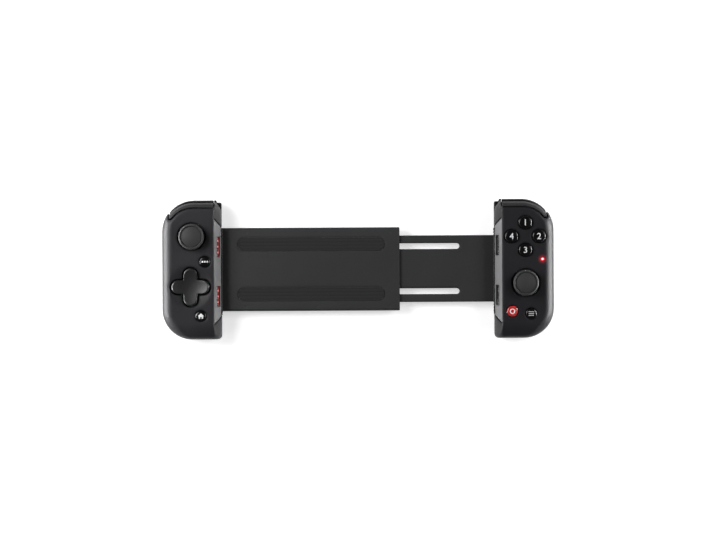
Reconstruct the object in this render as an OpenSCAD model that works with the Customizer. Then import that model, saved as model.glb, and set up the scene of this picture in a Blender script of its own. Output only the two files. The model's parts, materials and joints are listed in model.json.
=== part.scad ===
// Telescopic game controller: two grips joined by a sliding bridge.
// X runs along the bridge, Y up the grips, Z from the flat back to the controls.
// Each grip is drawn once in its own frame: u outwards from its clamp pad, v up, z to the front.

/* [Grips] */
// Free gap between the two clamp pads
clamp_gap = 162; // [158:1:168]
// Width of one grip, outwards from its clamp pad
grip_w = 36; // [35:0.5:40]
// Height of one grip
grip_h = 83.4; // [82:0.2:90]
// Thickness of one grip from its back to its front face
grip_t = 23; // [22.5:0.5:26]
// Radius of the outer corner under the shoulder buttons
shoulder_r = 19; // [17:0.5:20]
// Radius of the outer corner at the heel
heel_r = 18; // [15:0.5:20]
// Wall thickness of the shells
wall = 1.8; // [1.5:0.1:2.2]
// Thickness of the front face
face_wall = 2; // [1.6:0.1:2.4]
// Width of the bevel around the front face
bevel_w = 4; // [3.4:0.2:5]
// Height of that bevel
bevel_h = 2.4; // [2:0.1:3]
// Rounding of the back edges
back_r = 5.5; // [4:0.5:7]
// Height of the seam between the front and rear shells
seam_z = 11.5; // [11.3:0.1:12]

/* [Clamp] */
// Thickness of the rubber clamp pad
pad_t = 0.8; // [0.5:0.1:1.2]
// Upper end of the clamp block, above the grip's middle
block_top = 30.4; // [28:0.2:32]
// Lower end of the clamp block, below the grip's middle
block_bottom = 32.8; // [30:0.2:35]
// How far the block's ends draw in towards the pad
block_taper = 5.2; // [3:0.2:7]
// Height of the block's sloping face
block_slope_h = 5.1; // [4:0.1:5.6]
// Length of a light slot
slot_len = 12; // [8:0.5:14]
// Width of a light slot
slot_w = 2.8; // [2.4:0.1:3]
// Depth of a light slot
slot_depth = 2; // [1.6:0.1:2.2]

/* [Controls] */
// Radius of a thumbstick's cap
stick_cap_r = 7.6; // [6.5:0.1:8]
// Radius of a thumbstick's opening in the face
stick_hole_r = 8.5; // [8.4:0.1:8.9]
// Radius of the domed skirt under a thumbstick's cap
stick_dome_r = 10.4; // [10.2:0.1:10.4]
// Height of a thumbstick's pivot above the back
stick_pivot_z = 14.4; // [14.2:0.1:14.6]
// Reach of one arm of the direction pad
dpad_reach = 11.3; // [10:0.1:11.5]
// Width of one arm of the direction pad
dpad_arm_w = 8.1; // [7:0.1:9]
// Radius of a main button
button_r = 3.9; // [3.4:0.1:4.2]
// Distance of the upper and lower main buttons from the middle of their cluster
button_pitch = 8.2; // [7.8:0.1:8.8]
// Radius of a small button
small_r = 3.2; // [2.8:0.1:3.3]
// Radius of the status light
status_r = 1; // [0.7:0.1:1.3]

/* [Shoulder] */
// Depth of the bumper's recess behind the bumper's own outline
bumper_depth = 3.2; // [3:0.1:3.4]
// Depth of the trigger's recess from the grip's outline
trigger_depth = 6; // [5.8:0.1:6.4]
// Drop of the bumper's outline below the trigger's
bumper_set = 1.8; // [1.6:0.1:2]
// Radius of the bumper's peg
peg_r = 0.75; // [0.6:0.05:0.8]
// Radius of the trigger's hinge pin
pin_r = 0.75; // [0.6:0.05:0.9]

/* [Bridge] */
// Length of the sleeve from the left clamp pad
sleeve_len = 106; // [100:1:108]
// Height of the sleeve along the grips
sleeve_h = 50; // [48:1:50]
// Thickness of the sleeve
sleeve_t = 5.8; // [5.6:0.1:6]
// Height of the sleeve's back above the grips' back
sleeve_z = 4; // [3.6:0.1:4.1]
// Wall of the sleeve
sleeve_wall = 1.4; // [1.2:0.1:1.5]
// Length of the tongue from the right clamp pad
tongue_len = 97; // [94:1:98]
// Height of the tongue along the grips
tongue_h = 40; // [38:0.5:40]
// Travel of the bridge inwards from the drawn position
slide_in = 51; // [40:1:51]
// Travel of the bridge outwards from the drawn position
slide_out = 12; // [6:1:14]
// Length that the bridge reaches into each grip
bridge_root = 9; // [8.6:0.1:9.2]

/* [Hidden] */
$fn = 48;

// Clearances
fit_gap = 0.1;
run_gap = 0.05;
press_gap = 0.03;
slide_gap = 0.2;
move_gap = 0.3;

// Grip outline
cheek_in = 0.6;
cheek_h = 10;
face_in = 5.2;
cavity_in = face_in + 0.8;
side_in = 1;
bevel_lead = 2;
corner_steps = 12;
inner_steps = 5;
inner_corner_r = 2.4;
front_corner_r = 8;
face_out = grip_w - bevel_w;
face_mid = (face_in + face_out) / 2;
grip_top = grip_h / 2;
face_inside_z = grip_t - face_wall;

// Control places on the face: across it from its middle or edges, along it from the grip's ends or middle
left_stick_at = [face_mid - 0.3, grip_top - 22];
select_at = [face_in + 5.1, 4.8];
dpad_at = [face_mid + 0.4, -10.3];
home_at = [face_mid - 5.8, 14.1 - grip_top];
cluster_at = [face_mid + 0.3, grip_top - 22.6];
status_at = [face_out - 2.9, 5.4];
right_stick_at = [face_mid + 0.5, -8.7];
turbo_at = [face_in + 5.8, 16 - grip_top];
menu_at = [face_mid + 3.6, 14.6 - grip_top];
button_edge = 1.3;
cluster_reach = (face_out - face_in) / 2 - button_edge - button_r;

// Board and what stands on it
board_t = 1.2;
board_z = seam_z - 1.3;
board_top = board_z + board_t;
board_inset = wall + 0.7;
membrane_t = 0.8;
membrane_in = 0.9;

// Charging port
port_u = 12;
port_w = 8.9;
port_h = 3.2;
port_len = 7.3;
port_skin = 0.4;
port_set = 0.8;
port_side = 1.05;

// Screws that close each grip
front_boss_r = 2.4;
rear_boss_r = 3;
heel_screw_u = port_u + port_w / 2 + port_side + rear_boss_r;
grip_screws = [[9.5, grip_top - 12.2], [grip_w - 6.5, 0.5], [heel_screw_u, 6.2 - grip_top]];
screw_r = 0.85;
screw_head_r = 1.9;
screw_head_h = 1.3;
screw_sink = 1;
screw_floor = screw_sink + screw_head_h;

// Shoulder recess and its moving pieces
zone_in = 5;
zone_out = grip_w - 4;
zone_floor = grip_h / 2 - 12;
bumper_swing = 1;
bumper_press = 1.4;
trigger_swing = 2.2;
bumper_z = seam_z + 0.8;
bumper_top_drop = 0.1;
bumper_thick = bumper_depth - move_gap;
bumper_edge = 1;
bumper_tip = 0.2;
shelf_t = 0.5;
post_step = [zone_in - 1.4, 1.5];
peg_at = [zone_in + 2.6, grip_h / 2 - bumper_set - 1.45];
boss_r = peg_r + 0.65;
peg_top = grip_t - bevel_h - bumper_edge;
trigger_top = seam_z - 1.5;
trigger_foot = 1.2;
trigger_belly = 3;
trigger_belly_h = 5;
trigger_edge = 1.2;
trigger_skin = 2;
trigger_lip = 4;
trigger_lip_t = 1.4;
hinge_v = grip_h / 2 - 3.9;
hinge_z = trigger_top - 2.2;
barrel_r = 1.7;
barrel_len = 3.8;
spring_len = 2.6;
ear_t = 2;
ear_r = 1.6;
spring_wire_r = 0.15;
spring_turns = 3;
turn_steps = 10;
spring_coil_r = pin_r + 0.2 + spring_wire_r;
barrel_u = zone_in + move_gap + 0.1;
spring_u = barrel_u + barrel_len + 0.2;
ear_u = spring_u + spring_len + 0.2;
pin_u = 1.2;

// Thumbstick, measured from its pivot
stick_dome_t = 1;
stick_dome_cut = 2.5;
stick_cap_z = 12.6;
stick_cap_t = 3;
stick_neck_r = 4;
cap_edge_r = 0.9;
cap_groove_in = 1.5;
cap_groove_w = 0.5;
cap_groove_h = 0.7;
stem_r = 1.25;
stem_foot = 1.7;
module_half = 6;
module_wall = 1;
module_top = 1.6;
yoke_half = [4.5, 4.4];
yoke_hole = [3.4, 2.6];
yoke_t = 2.4;
trunnion_r = 0.8;
block_half = [2.4, 2.5];
block_h = 2.4;

// Direction pad, with its pivot's height
dpad_pivot_z = board_top + 5.8;
dpad_top = grip_t + 2.2;
dpad_foot = face_inside_z - 0.6;
dpad_dip = 1;
dpad_clear = 0.8;
dish_r = dpad_reach + 1.5;
dish_slope = 5;
dish_depth = 1;
spider_half = 1.8;
spider_h = 2.6;
spider_pin_r = 0.7;
post_gap = 2.5;
post_t = 1.4;
post_half = 1.8;
lug_in = 2;
lug_t = 1.4;
lug_half = 1.5;

// Push buttons
button_gap = 0.3;
button_rise = 2;
small_rise = 1.1;
flange_w = 0.5;
flange_t = 1.2;
flange_drop = 0.3;
button_flange_z = face_inside_z - flange_drop - flange_t;
button_travel = 1;

// Clamp block, and the frame of its sloping face
block_top_z = grip_t - 0.5;
block_mid_z = block_top_z - block_slope_h;
block_foot_z = seam_z + fit_gap;
slope_run = face_in - pad_t;
pocket_reach = 1;
slope_angle = atan2(block_slope_h, slope_run);
slot_centres = [13.7, -15.9];
slot_shift = -1.3;
lens_t = 1;
lens_spots = 3;

// Bridge
sleeve_top = sleeve_z + sleeve_t;
groove_z0 = sleeve_z + sleeve_wall;
groove_z1 = sleeve_top - sleeve_wall;
groove_h = sleeve_h - 2 * 1.5;
sleeve_chamfer = 0.9;
tongue_z0 = groove_z0 + slide_gap;
tongue_z1 = groove_z1 - slide_gap;
flange_len = 2;
bridge_pad_w = 8;
bridge_pad_v = 15;
bridge_pad_h = 0.6;
bridge_pad_sink = 0.3;
bridge_pad_end = 9;
guide_v = 13.5;
guide_pin_r = 1.5;
guide_pin_x = 8;
fork_half = 8.5;
fork_len = 36;
roll_at = [7, 14];
roll_r = 4.5;
roll_bore_r = 2;
strip_t = 0.3;
cable_r = 1;
cable_swing = 3.6;
cable_waves = 3;
cable_rings = 40;
cable_sides = 8;
bridge_screw_v = sleeve_h / 2 - 2.8;
bridge_screw_us = [14, 57, 100];
bridge_screw_r = 0.7;
bridge_boss_r = 1.5;
clamp_x = clamp_gap / 2;

// Battery
battery_side = 10;
battery_heel = 9.5;
battery_head = 7.5;
battery_u = [battery_side, grip_w - battery_side];
battery_v = [grip_screws[2][1] + battery_heel, grip_screws[0][1] - battery_head];
battery_t = 5.8;

// Places for the two grips
module right() {
    translate([clamp_x, 0, 0]) children();
}

module left() {
    mirror([1, 0, 0]) right() children();
}

// Points along an arc from angle a0 to a1
function arc_points(centre, r, a0, a1, steps) = [
    for (i = [0:steps])
        let (a = a0 + (a1 - a0) * i / steps)
        [centre[0] + r * cos(a), centre[1] + r * sin(a)]
];

// The grip's outline, drawn in by inset, with its clamp side at inner and top_r at that side's upper corner
function grip_outline(inset, inner, top_r = inner_corner_r) = let (
    ri = inner_corner_r,
    top = grip_h / 2 - inset,
    heel = [grip_w - heel_r, heel_r - grip_h / 2],
    shoulder = [grip_w - shoulder_r, grip_h / 2 - shoulder_r]
) concat(
    arc_points([inner + ri, ri - top], ri, 180, 270, inner_steps),
    arc_points(heel, heel_r - inset, 270, 360, corner_steps),
    arc_points(shoulder, shoulder_r - inset, 0, 90, corner_steps),
    arc_points([inner + top_r, top - top_r], top_r, 90, 180, inner_steps)
);

// Clamp side of the shells at height z: it leans back towards the front face
function cheek(z) = cheek_in + (face_in - cheek_in) * pow(max(0, (z - grip_t + cheek_h) / cheek_h), 1.4);

// A closed solid through rings of equal point count, lowest first
module loft(rings) {
    count = len(rings[0]);
    last = (len(rings) - 1) * count;
    polyhedron(
        points = [for (ring = rings) each ring],
        faces = concat(
            [[for (i = [0:count - 1]) i]],
            [[for (i = [count - 1:-1:0]) last + i]],
            [for (k = [0:len(rings) - 2], i = [0:count - 1]) let (
                a = k * count + i,
                b = k * count + (i + 1) % count
            ) each [[a, a + count, b + count], [a, b + count, b]]]
        )
    );
}

// Upper clamp-side corner of the front shell at height z: wide on its side, tight at the face
function top_corner(z) =
    inner_corner_r + (front_corner_r - inner_corner_r) * min(1, (grip_t - z) / (bevel_h + bevel_lead));

// A loft through the grip's outline, given rows of height, inset, clamp side and upper clamp-side corner
module grip_loft(rows) {
    loft([for (row = rows) let (top_r = len(row) > 3 ? row[3] : inner_corner_r)
        [for (p = grip_outline(row[1], row[2], top_r)) [p[0], p[1], row[0]]]]);
}

function back_rows(z0, inset, r, inner, inner_r) = [
    for (i = [0:4]) let (a = i * 22.5)
    [z0 + r * (1 - cos(a)), inset + r * (1 - sin(a)), inner + inner_r * (1 - sin(a))]
];

front_rows = [
    for (row = [
        [seam_z, 0], [grip_t - cheek_h + 1, 0], [grip_t - 6.5, 0], [grip_t - bevel_h - bevel_lead, 0],
        [grip_t - bevel_h, side_in], [grip_t - 0.6, bevel_w - 0.9], [grip_t, bevel_w]
    ]) [row[0], row[1], cheek(row[0]), top_corner(row[0])]
];
front_cavity_rows = [
    [seam_z - 1, wall, cavity_in],
    [grip_t - bevel_h - 1, wall + side_in / 2, cavity_in],
    [face_inside_z, bevel_w, cavity_in]
];
rear_rows = concat(back_rows(0, 0, back_r, cheek_in, back_r), [[seam_z, 0, cheek_in]]);
rear_cavity_rows = concat(
    back_rows(wall, wall, back_r - wall, cavity_in + 1, 0),
    [[seam_z + 1, wall, cavity_in + 1]]
);

// Plan of a shoulder recess below an outline lowered by drop, grown by its walls
module shoulder_zone(depth, grow = 0, drop = 0) {
    difference() {
        translate([zone_in - grow, zone_floor - grow])
            square([zone_out - zone_in + 2 * grow, grip_h]);
        translate([0, -drop]) polygon(grip_outline(depth + grow, cheek_in));
    }
}

module shoulder_cut(depth, grow = 0, drop = 0) {
    translate([0, 0, -1]) linear_extrude(grip_t + 2) shoulder_zone(depth, grow, drop);
}

// Cross of the direction pad, grown by clear
module dpad_plan(clear = 0) {
    for (turn = [0, 90]) rotate(turn) {
        tip = dpad_reach - dpad_arm_w / 2;
        square([2 * tip, dpad_arm_w + 2 * clear], center = true);
        for (side = [-1, 1]) translate([side * tip, 0]) circle(dpad_arm_w / 2 + clear);
    }
}

// Shallow dish around the direction pad, cut a little past the face
module pad_dish() {
    over = 0.2;
    at(dpad_at, grip_t - dish_depth) cylinder(
        r1 = dish_r - dish_slope, r2 = dish_r + dish_slope * over / dish_depth, h = dish_depth + over);
}

module at(place, z = 0) {
    translate([place[0], place[1], z]) children();
}

// Round hole through the front face
module face_hole(place, r) {
    at(place, face_inside_z - 1) cylinder(r = r, h = face_wall + 2);
}

module front_bosses() {
    for (s = grip_screws) at(s, board_top) cylinder(r = front_boss_r, h = grip_t - board_top - 1);
}

// Clamp block, or with grow and reach the pocket that it sits in, open to the pad and the seam
module block_form(grow = 0, reach = 0) {
    u0 = pad_t - reach;
    u1 = face_in + grow;
    foot = block_foot_z - reach;
    slope = block_slope_h / slope_run;
    taper = block_taper / slope_run;
    top_z = block_top_z + 2 * grow;
    intersection() {
        translate([0, grip_h / 2, 0]) rotate([90, 0, 0]) linear_extrude(grip_h) polygon([
            [u1, top_z + slope * (u1 - face_in)], [u0, top_z + slope * (u0 - face_in)],
            [u0, foot], [u1, foot]
        ]);
        linear_extrude(grip_t + 1) polygon([
            [u0, -block_bottom - 2 * grow - taper * (u0 - face_in)],
            [u1, -block_bottom - 2 * grow - taper * (u1 - face_in)],
            [u1, block_top + 2 * grow + taper * (u1 - face_in)],
            [u0, block_top + 2 * grow + taper * (u0 - face_in)]
        ]);
    }
}

// Frame on the block's sloping face: local X up the slope, local Y along the grip, local Z outwards
module slope_frame(v) {
    translate([(face_in + pad_t) / 2, v, block_top_z - block_slope_h / 2])
        rotate([0, -slope_angle, 0]) translate([slot_shift, 0, 0]) children();
}

// Shelf between the bumper and the trigger
module shoulder_shelf() {
    translate([0, 0, seam_z]) linear_extrude(shelf_t) intersection() {
        shoulder_zone(bumper_depth, 0.2, bumper_set);
        translate([0, -bumper_set]) polygon(grip_outline(0.4, cheek_in));
    }
}

module front_shell() {
    difference() {
        grip_loft(front_rows);
        difference() {
            grip_loft(front_cavity_rows);
            shoulder_cut(bumper_depth, wall, bumper_set);
            front_bosses();
        }
        shoulder_cut(bumper_depth, 0, bumper_set);
        block_form(fit_gap, pocket_reach);
        for (s = grip_screws) at(s, board_top - 1) cylinder(r = screw_r + run_gap, h = 7);
    }
    shoulder_shelf();
    at(peg_at, seam_z + shelf_t) cylinder(r = peg_r, h = peg_top - seam_z - shelf_t);
}

module rear_shell() {
    difference() {
        grip_loft(rear_rows);
        difference() {
            grip_loft(rear_cavity_rows);
            shoulder_cut(trigger_depth, wall);
            for (s = grip_screws) at(s) cylinder(r = rear_boss_r, h = board_z);
        }
        shoulder_cut(trigger_depth);
        translate([-1, grip_top - post_step[1], -1]) cube([1 + post_step[0], grip_h, grip_t]);
        for (s = grip_screws) {
            at(s, -1) cylinder(r = screw_head_r + fit_gap, h = 1 + screw_floor);
            at(s, 0) cylinder(r = screw_r + fit_gap, h = seam_z);
        }
        hinge_bore(pin_r + press_gap);
    }
    difference() {
        hinge_ear();
        hinge_bore(pin_r + press_gap);
    }
}

// Window for the bridge in a rear shell's clamp side
module bridge_window(h, z0, z1) {
    translate([-1, -h / 2 - slide_gap, z0 - slide_gap])
        cube([cavity_in + 3, h + 2 * slide_gap, z1 - z0 + 2 * slide_gap]);
}

// Trigger hinge, along the bridge
module hinge_line(u) {
    translate([u, hinge_v, hinge_z]) rotate([0, 90, 0]) children();
}

module hinge_bore(r) {
    hinge_line(pin_u) cylinder(r = r, h = ear_u + ear_t + 1 - pin_u);
}

module hinge_ear() {
    hinge_line(ear_u) cylinder(r = ear_r, h = ear_t);
    root_v = grip_h / 2 - trigger_depth - 0.2;
    translate([ear_u, root_v, hinge_z - ear_r]) cube([ear_t, hinge_v - root_v, 2 * ear_r]);
}

module trigger_pin() {
    color("silver") hinge_line(pin_u) cylinder(r = pin_r, h = ear_u + ear_t - pin_u);
}

module trigger_spring() {
    steps = turn_steps * spring_turns;
    rise = (spring_len - 2 * spring_wire_r) / steps;
    color("gray") hinge_line(spring_u + spring_wire_r) loft([for (i = [steps:-1:0]) [for (k = [0:5]) let (
        r = spring_coil_r + spring_wire_r * cos(60 * k),
        turn = 360 * i / turn_steps
    ) [r * cos(turn), r * sin(turn), rise * i + spring_wire_r * sin(60 * k)]]]);
}

// Plan of what the bumper stays clear of, at rest and pressed
module behind_bumper() {
    for (turn = [0, bumper_press])
        translate(peg_at) rotate(turn) translate([0, -bumper_set] - peg_at)
            polygon(grip_outline(bumper_thick, -1));
}

// Bumper: a curved bar across the shoulder that turns on a peg at its clamp end
module bumper() {
    rows = [
        [bumper_z, 0, cheek_in], [grip_t - bevel_h - bumper_edge, 0, cheek_in],
        [grip_t - bumper_top_drop - bumper_edge, bumper_edge, cheek_in],
        [grip_t - bumper_top_drop, bumper_thick - bumper_tip, cheek_in]
    ];
    color([0.2, 0.2, 0.21]) difference() {
        union() {
            difference() {
                translate([0, -bumper_set, 0]) grip_loft(rows);
                translate([0, 0, bumper_z - 1]) linear_extrude(grip_t) difference() {
                    square(3 * grip_w, center = true);
                    translate([zone_in + move_gap, zone_floor + bumper_swing])
                        square([zone_out - zone_in - 2 * move_gap, grip_h]);
                }
                translate([0, 0, bumper_z - 1]) linear_extrude(grip_t) behind_bumper();
            }
            at(peg_at, bumper_z) cylinder(r = boss_r, h = peg_top - bumper_z);
        }
        at(peg_at, bumper_z - 1) cylinder(r = peg_r + run_gap, h = peg_top + move_gap - bumper_z + 1);
    }
}

// Trigger: a hollow curved skin under the bumper, hung on its hinge pin
module trigger() {
    rows = concat(
        [for (i = [0:4]) let (a = i * 22.5)
            [trigger_foot + trigger_belly_h * (1 - cos(a)), trigger_belly * (1 - sin(a)), cheek_in]],
        [[trigger_top - trigger_edge, trigger_edge / 4, cheek_in], [trigger_top, trigger_edge, cheek_in]]
    );
    u0 = zone_in + move_gap;
    u1 = zone_out - move_gap;
    hollow_z0 = trigger_foot + trigger_lip_t;
    hollow_z1 = trigger_top - trigger_lip_t;
    color([0.03, 0.03, 0.035]) difference() {
        union() {
            difference() {
                grip_loft(rows);
                translate([0, 0, -1]) linear_extrude(grip_t) difference() {
                    square(3 * grip_w, center = true);
                    translate([u0, zone_floor + trigger_swing]) square([u1 - u0, grip_h]);
                }
                translate([0, 0, -1]) linear_extrude(grip_t)
                    polygon(grip_outline(trigger_lip, -1));
                translate([0, 0, hollow_z0]) linear_extrude(hollow_z1 - hollow_z0)
                    intersection() {
                        polygon(grip_outline(trigger_skin, -1));
                        translate([u0 + 1.5, 0]) square([u1 - u0 - 3, grip_h]);
                    }
                translate([spring_u - 0.1, 0, hollow_z1 - 0.1])
                    cube([ear_u + ear_t + 0.3 - spring_u, hinge_v + 2.2, grip_t]);
            }
            hinge_line(barrel_u) cylinder(r = barrel_r, h = barrel_len);
            translate([barrel_u, hinge_v, hinge_z - barrel_r + 0.4])
                cube([barrel_len, grip_h / 2 - hinge_v - 1, 2 * barrel_r - 0.8]);
        }
        hinge_bore(pin_r + run_gap);
    }
}

// Left shells
module left_front_shell() {
    color([0.17, 0.17, 0.18]) left() difference() {
        front_shell();
        face_hole(left_stick_at, stick_hole_r);
        face_hole(select_at, small_r + button_gap);
        face_hole(home_at, small_r + button_gap);
        pad_dish();
        at(dpad_at, face_inside_z - 1) linear_extrude(face_wall + 2) dpad_plan(dpad_clear);
    }
}

module left_rear_shell() {
    color([0.12, 0.12, 0.13]) left() difference() {
        rear_shell();
        bridge_window(sleeve_h, sleeve_z, sleeve_top);
    }
}

// Right shells
function cluster_place(i) = cluster_at + [cluster_reach * cos(90 * i), button_pitch * sin(90 * i)];

module right_front_shell() {
    color([0.13, 0.13, 0.14]) right() difference() {
        front_shell();
        face_hole(right_stick_at, stick_hole_r);
        face_hole(turbo_at, small_r + button_gap);
        face_hole(menu_at, small_r + button_gap);
        face_hole(status_at, status_r + fit_gap);
        for (i = [0:3]) face_hole(cluster_place(i), button_r + button_gap);
    }
}

module right_rear_shell() {
    color([0.12, 0.12, 0.13]) right() difference() {
        rear_shell();
        bridge_window(tongue_h, tongue_z0, tongue_z1);
        translate([port_u, back_r - grip_h / 2, board_z - port_h / 2]) rotate([90, 0, 0])
            linear_extrude(grip_h) port_plan(0.25);
    }
}

// Clamp pieces, alike on both grips
module clamp_block() {
    color([0.3, 0.3, 0.31]) difference() {
        block_form();
        for (v = slot_centres) slope_frame(v) translate([-slot_w / 2, -slot_len / 2, -slot_depth])
            cube([slot_w, slot_len, slot_depth + 1]);
    }
}

module clamp_pad() {
    v0 = block_taper - block_bottom + 0.6;
    v1 = block_top - block_taper - 0.6;
    color([0.05, 0.05, 0.05]) translate([0, v0, block_foot_z + 0.3])
        cube([pad_t, v1 - v0, block_mid_z - block_foot_z - 0.8]);
}

module light_bar(tint) {
    spot_r = slot_w / 2 - 0.3;
    color(tint) for (v = slot_centres) slope_frame(v) translate([0, 0, -slot_depth]) {
        translate([0, 0, lens_t / 2])
            cube([slot_w - fit_gap, slot_len - fit_gap, lens_t], center = true);
        for (i = [0:lens_spots - 1])
            translate([0, (i - (lens_spots - 1) / 2) * slot_len / (lens_spots + 0.5), lens_t - 0.1])
                cylinder(r = spot_r, h = 0.4);
    }
}

// Boards
module board_plan() {
    difference() {
        polygon(grip_outline(board_inset, cavity_in + 2.2));
        translate([0, grip_h / 2 - trigger_depth - wall - 0.5]) square([grip_w, grip_h]);
        shoulder_zone(trigger_depth, wall + 0.5);
        for (s = grip_screws) translate(s) circle(screw_r + fit_gap);
    }
}

module circuit_board() {
    color([0.05, 0.25, 0.12]) translate([0, 0, board_z]) linear_extrude(board_t) board_plan();
}

module battery() {
    color([0.55, 0.56, 0.58]) left() translate([battery_u[0], battery_v[0], wall])
        cube([battery_u[1] - battery_u[0], battery_v[1] - battery_v[0], battery_t]);
}

// Silicone pads with a dome under each key
module key_pad(place, r, top) {
    at(place, board_top) {
        cylinder(r = r, h = membrane_t);
        cylinder(r1 = r - 0.6, r2 = r - 1.4, h = top - board_top);
    }
}

module button_pad(place, r) {
    key_pad(place, r - membrane_in, button_flange_z - button_travel - move_gap);
}

module left_button_membrane() {
    color([0.6, 0.6, 0.6]) left() {
        button_pad(select_at, small_r);
        button_pad(home_at, small_r);
        for (i = [0:3]) {
            tip = (dpad_reach - dpad_arm_w / 2) * [cos(90 * i), sin(90 * i)];
            key_pad(dpad_at + tip, small_r - 0.6, dpad_foot - dpad_dip - move_gap);
        }
    }
}

module right_button_membrane() {
    color([0.6, 0.6, 0.6]) right() {
        button_pad(turbo_at, small_r);
        button_pad(menu_at, small_r);
        for (i = [0:3]) button_pad(cluster_place(i), button_r);
    }
}

// Thumbstick pieces, drawn about the pivot
module stick_module() {
    floor_z = board_top - stick_pivot_z;
    color([0.5, 0.5, 0.52]) difference() {
        translate([-module_half, -module_half, floor_z])
            cube([2 * module_half, 2 * module_half, module_top - floor_z]);
        translate([module_wall - module_half, module_wall - module_half, floor_z + 0.4])
            cube([2 * (module_half - module_wall), 2 * (module_half - module_wall), module_top - floor_z]);
        rotate([0, 90, 0]) cylinder(r = trunnion_r + run_gap, h = 4 * module_half, center = true);
    }
}

module stick_yoke() {
    color([0.85, 0.85, 0.82]) difference() {
        union() {
            cube([2 * yoke_half[0], 2 * yoke_half[1], yoke_t], center = true);
            rotate([0, 90, 0]) cylinder(r = trunnion_r, h = 2 * module_half, center = true);
        }
        cube([2 * yoke_hole[0], 2 * yoke_hole[1], yoke_t + 1], center = true);
        rotate([90, 0, 0]) cylinder(r = trunnion_r + run_gap, h = 4 * module_half, center = true);
    }
}

module stick_pivot() {
    color([0.8, 0.8, 0.78]) difference() {
        union() {
            cube([2 * block_half[0], 2 * block_half[1], block_h], center = true);
            rotate([90, 0, 0]) cylinder(r = trunnion_r, h = 2 * yoke_half[1], center = true);
        }
        cylinder(r = stem_r + run_gap, h = block_h + 2, center = true);
    }
}

module stick_stem() {
    color([0.75, 0.75, 0.72]) translate([0, 0, -stem_foot])
        cylinder(r = stem_r, h = stem_foot + stick_cap_z + stick_cap_t / 2);
}

// Cap with a low crown inside a grooved rim, on a neck that widens into a domed skirt
module stick_cap() {
    dome_in = stick_dome_r - stick_dome_t;
    a0 = asin(stick_dome_cut / stick_dome_r);
    a1 = acos(stick_neck_r / stick_dome_r);
    edge = stick_cap_r - cap_edge_r;
    groove = stick_cap_r - cap_groove_in;
    top = stick_cap_z + stick_cap_t;
    color([0.16, 0.16, 0.165]) difference() {
        rotate_extrude() polygon(concat(
            arc_points([0, 0], stick_dome_r, a0, a1, 8),
            [[stick_neck_r, stick_cap_z - 0.6], [edge - 0.1, stick_cap_z]],
            arc_points([edge, stick_cap_z + cap_edge_r], cap_edge_r, -60, 0, 3),
            arc_points([edge, top - cap_edge_r], cap_edge_r, 0, 90, 4),
            [[groove + cap_groove_w, top - 0.1], [groove + cap_groove_w / 2, top - cap_groove_h]],
            [[groove - cap_groove_w / 2, top - cap_groove_h], [groove - cap_groove_w, top - 0.2]],
            [[groove / 2, top], [0, top], [0, dome_in]],
            arc_points([0, 0], dome_in, 80, asin(stick_dome_cut / dome_in), 8)
        ));
        translate([0, 0, dome_in - 1]) cylinder(
            r = stem_r + 0.02, h = stick_cap_z + stick_cap_t / 2 - dome_in + 1.05);
    }
}

// Direction pad pieces, drawn about the pad's middle
module dpad_post() {
    color([0.5, 0.5, 0.52]) left() at(dpad_at) difference() {
        union() {
            translate([-post_gap - post_t, -post_half, board_top])
                cube([2 * (post_gap + post_t), 2 * post_half, 1]);
            for (side = [-1, 1])
                translate([side * (post_gap + post_t / 2) - post_t / 2, -post_half, board_top])
                    cube([post_t, 2 * post_half, dpad_pivot_z + 1.4 - board_top]);
        }
        translate([0, 0, dpad_pivot_z]) rotate([0, 90, 0])
            cylinder(r = spider_pin_r + run_gap, h = 4 * (post_gap + post_t), center = true);
    }
}

module dpad_spider() {
    color([0.8, 0.8, 0.78]) left() at(dpad_at, dpad_pivot_z) {
        cube([2 * spider_half, 2 * spider_half, spider_h], center = true);
        rotate([0, 90, 0]) cylinder(r = spider_pin_r, h = 2 * (post_gap + post_t), center = true);
        rotate([90, 0, 0]) cylinder(r = spider_pin_r, h = 2 * (lug_in + lug_t), center = true);
    }
}

module dpad() {
    color([0.13, 0.13, 0.14]) left() at(dpad_at) difference() {
        union() {
            translate([0, 0, dpad_foot]) linear_extrude(dpad_top - 0.6 - dpad_foot) dpad_plan();
            translate([0, 0, dpad_top - 0.6]) linear_extrude(0.6) dpad_plan(-0.5);
            for (side = [-1, 1])
                translate([-lug_half, side * (lug_in + lug_t / 2) - lug_t / 2, dpad_pivot_z - 1.4])
                    cube([2 * lug_half, lug_t, dpad_foot + 1.4 - dpad_pivot_z + 0.5]);
        }
        translate([0, 0, dpad_pivot_z]) rotate([90, 0, 0])
            cylinder(r = spider_pin_r + run_gap, h = 4 * (lug_in + lug_t), center = true);
    }
}

// Push button with a rounded crown and a retaining flange under the face
module push_button(place, r, rise) {
    top = grip_t + rise;
    flange_z = button_flange_z;
    edge = 0.7;
    at(place) rotate_extrude() polygon(concat(
        [[0, flange_z], [r + flange_w, flange_z]],
        [[r + flange_w, flange_z + flange_t], [r, flange_z + flange_t]],
        arc_points([r - edge, top - edge - 0.2], edge, 0, 75, 4),
        [[0, top]]
    ));
}

module small_button(place) {
    push_button(place, small_r, small_rise);
}

module main_button(i) {
    color([0.03, 0.03, 0.03]) right() push_button(cluster_place(i), button_r, button_rise);
}

module status_light() {
    color([0.9, 0.1, 0.12]) right() at(status_at, board_top)
        cylinder(r = status_r, h = grip_t + 0.1 - board_top);
}

// Charging port, open to the heel
module port_plan(grow = 0) {
    r = port_h / 2;
    for (side = [-1, 1]) translate([side * (port_w / 2 - r), 0]) circle(r + grow);
    square([port_w - 2 * r, port_h + 2 * grow], center = true);
}

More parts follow.
